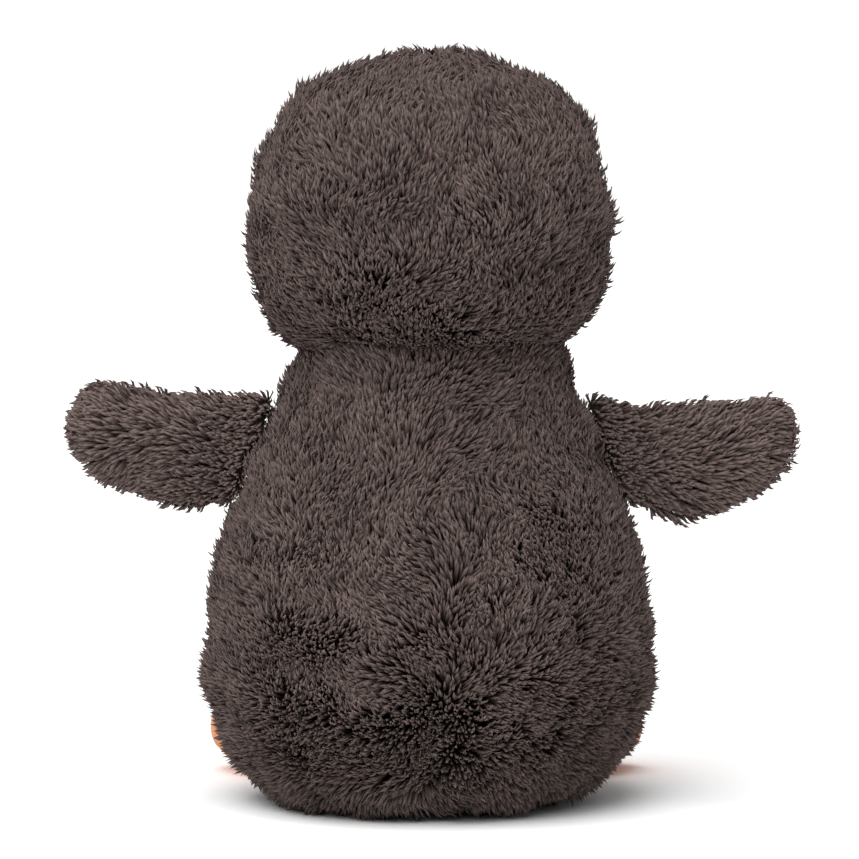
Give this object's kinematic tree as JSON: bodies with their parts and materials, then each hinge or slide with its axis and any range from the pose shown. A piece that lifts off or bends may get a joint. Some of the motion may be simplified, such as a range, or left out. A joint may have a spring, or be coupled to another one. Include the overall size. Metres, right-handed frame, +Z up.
{
  "type": "plush penguin toy",
  "caption": "Sitting plush penguin with a round head, pear body, two side flippers that swing, feet, beak and domed eyes, covered in long pile cloth.",
  "frame": {"origin": "middle of the flat underside, on the surface the toy sits on", "axes": "+Z up; the toy looks along -Y, so its own left wing points to +X"},
  "size_m": [0.2164, 0.159, 0.2309],
  "materials": {
    "plush_dark": "long pile, matt",
    "plush_pale": "long pile, matt",
    "short_cloth": "short nap, matt",
    "fibre_filling": "loose fibre",
    "bag_cloth": "plain woven cloth",
    "beans": "small pellets",
    "eye": "polished",
    "washer": "moulded"
  },
  "bodies": {
    "body": {"back_panel_left": "plush_dark", "back_panel_right": "plush_dark", "side_panel_left": "plush_dark", "side_panel_right": "plush_dark", "belly_panel": "plush_pale", "base_panel": "plush_dark", "body_filling": "fibre_filling", "bean_bag": "bag_cloth", "bean_fill": "beans"},
    "neck": {"neck_wad": "fibre_filling"},
    "head": {"head_back_left": "plush_dark", "head_back_right": "plush_dark", "head_side_left": "plush_dark", "head_side_right": "plush_dark", "face_panel": "plush_pale", "head_filling": "fibre_filling", "eye_left": "eye", "eye_right": "eye", "eye_washer_left": "washer", "eye_washer_right": "washer", "beak_upper": "short_cloth", "beak_lower": "short_cloth", "beak_filling": "fibre_filling"},
    "left_wing": {"wing_back_left": "plush_dark", "wing_front_left": "plush_dark", "wing_filling_left": "fibre_filling"},
    "right_wing": {"wing_back_right": "plush_dark", "wing_front_right": "plush_dark", "wing_filling_right": "fibre_filling"},
    "left_foot": {"foot_top_left": "short_cloth", "foot_sole_left": "short_cloth", "foot_filling_left": "fibre_filling"},
    "right_foot": {"foot_top_right": "short_cloth", "foot_sole_right": "short_cloth", "foot_filling_right": "fibre_filling"}
  },
  "joints": [
    {"name": "neck_nod", "type": "hinge", "parent": "body", "child": "neck", "pos_m": [0, 0, 0.17547], "axis": [1, 0, 0], "range_deg": [-12, 12], "stiffness_Nm_per_rad": 0.5},
    {"name": "head_tilt", "type": "hinge", "parent": "neck", "child": "head", "pos_m": [0, 0, 0.17547], "axis": [0, 1, 0], "range_deg": [-10, 10], "stiffness_Nm_per_rad": 0.5},
    {"name": "left_wing_swing", "type": "hinge", "parent": "body", "child": "left_wing", "pos_m": [0.05854, 0, 0.1102], "axis": [0.3726, 0, -0.928], "range_deg": [-50, 60], "stiffness_Nm_per_rad": 0.02},
    {"name": "right_wing_swing", "type": "hinge", "parent": "body", "child": "right_wing", "pos_m": [-0.05854, 0, 0.1102], "axis": [0.3726, 0, 0.928], "range_deg": [-50, 60], "stiffness_Nm_per_rad": 0.02},
    {"name": "left_foot_lift", "type": "hinge", "parent": "body", "child": "left_foot", "pos_m": [0.03409, -0.04868, 0.006], "axis": [-0.8192, -0.5736, 0], "range_deg": [0, 20], "stiffness_Nm_per_rad": 0.05},
    {"name": "right_foot_lift", "type": "hinge", "parent": "body", "child": "right_foot", "pos_m": [-0.03409, -0.04868, 0.006], "axis": [-0.8192, 0.5736, 0], "range_deg": [0, 20], "stiffness_Nm_per_rad": 0.05}
  ]
}
